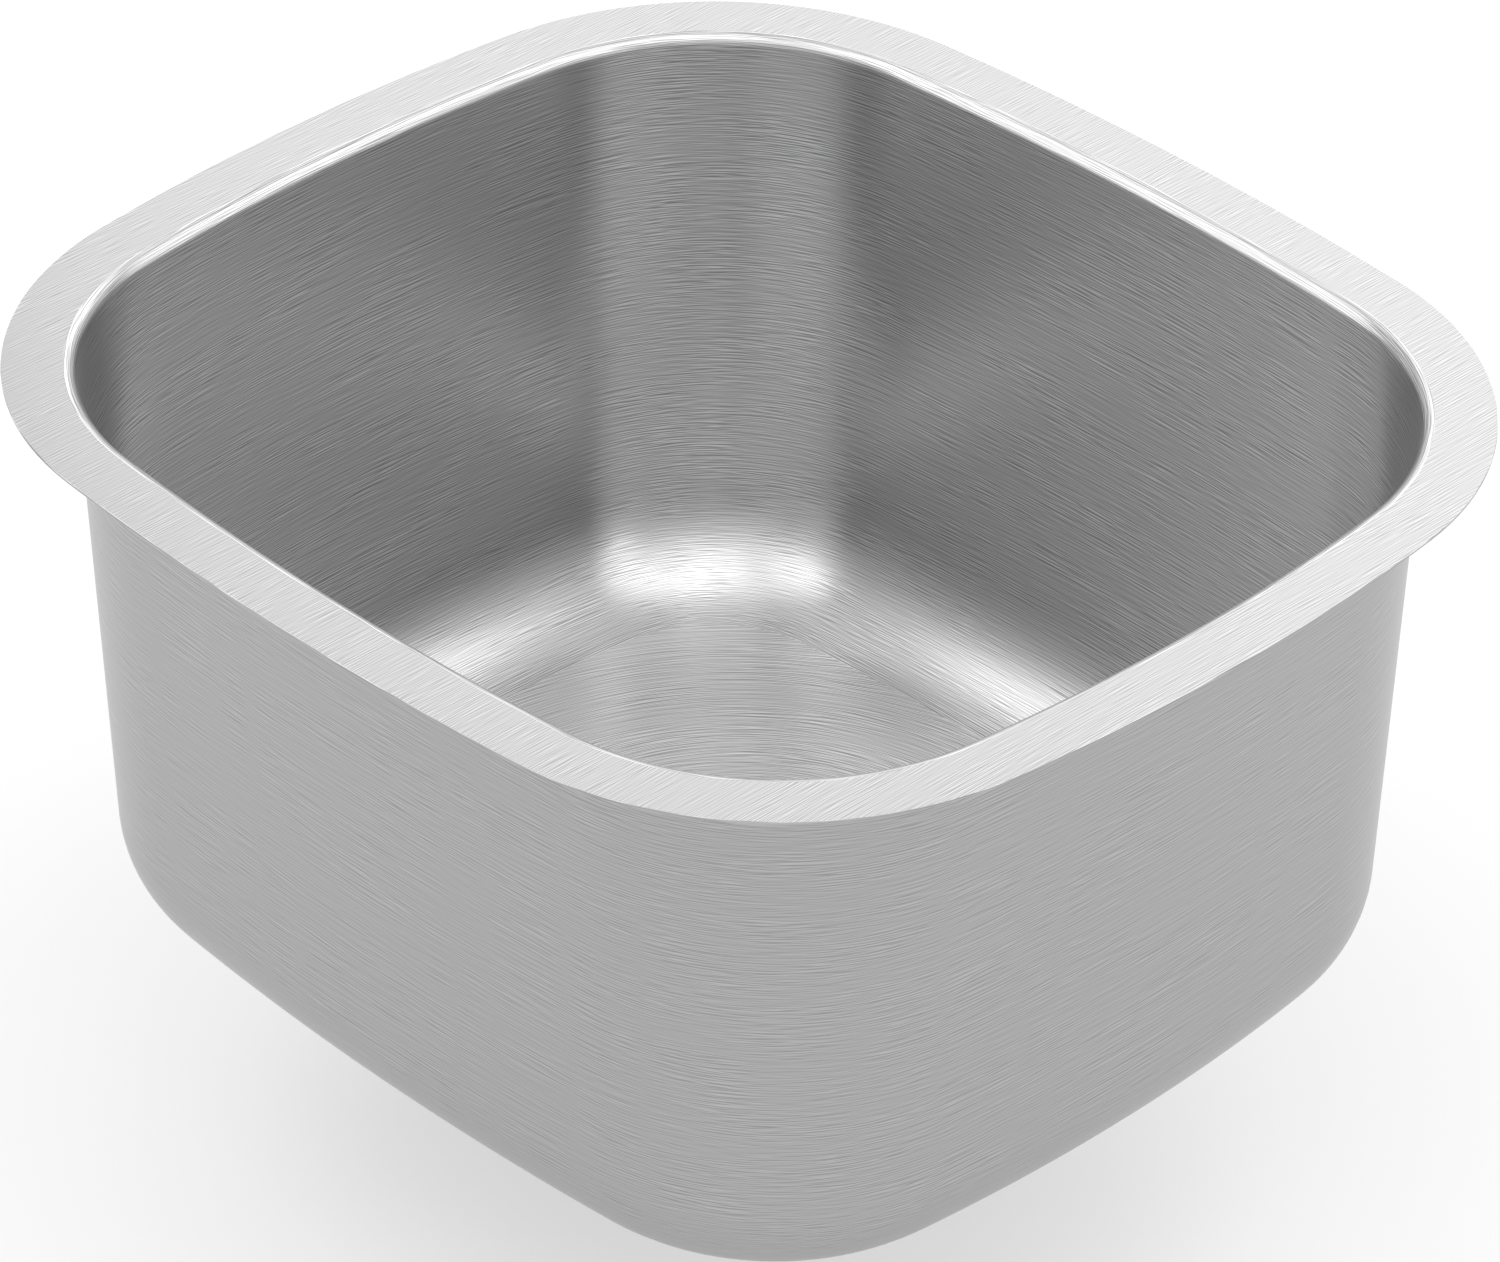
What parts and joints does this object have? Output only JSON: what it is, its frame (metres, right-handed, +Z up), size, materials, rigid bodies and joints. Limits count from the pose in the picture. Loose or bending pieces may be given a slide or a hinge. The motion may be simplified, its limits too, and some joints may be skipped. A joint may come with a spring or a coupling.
{
  "type": "undermount kitchen sink",
  "caption": "Single-bowl undermount kitchen sink in brushed steel sheet, with bowed sides, a flat flange, rounded cove, sound pads and a basket strainer in its drain.",
  "frame": {"origin": "centre of the bowl's mouth, in the plane of the flange's top face, which is the plane of the worktop's underside", "axes": "+Z up, out of the bowl; +Y to the back, along the longer side; +X to the right"},
  "size_m": [0.4318, 0.47, 0.324],
  "materials": {
    "brushed_steel": "fine brushed stainless steel sheet",
    "polished_steel": "polished stainless steel",
    "cast_zinc": "plain die-cast zinc",
    "black_rubber": "matt moulded rubber",
    "grey_rubber": "matt rubber sheet",
    "fibre_board": "pressed fibre",
    "white_nylon": "plain moulded plastic"
  },
  "bodies": {
    "sink": {"bowl_shell": "brushed_steel", "pad_right": "grey_rubber", "pad_left": "grey_rubber", "pad_back": "grey_rubber", "pad_front": "grey_rubber", "strainer_seal": "white_nylon", "strainer_body": "polished_steel", "strainer_outlet": "cast_zinc", "coupling_nut": "cast_zinc", "pipe_washer": "white_nylon", "drain_gasket": "black_rubber", "friction_ring": "fibre_board", "locknut": "cast_zinc"},
    "basket": {"basket_cup": "polished_steel", "basket_post": "polished_steel", "basket_knob": "polished_steel", "basket_stopper": "black_rubber", "clamp_washer": "polished_steel", "post_nut": "polished_steel", "post_catch": "polished_steel"}
  },
  "joints": [
    {"name": "basket_lift", "type": "slide", "parent": "sink", "child": "basket", "axis": [0, 0, 1], "range_m": [0, 0.3]}
  ]
}
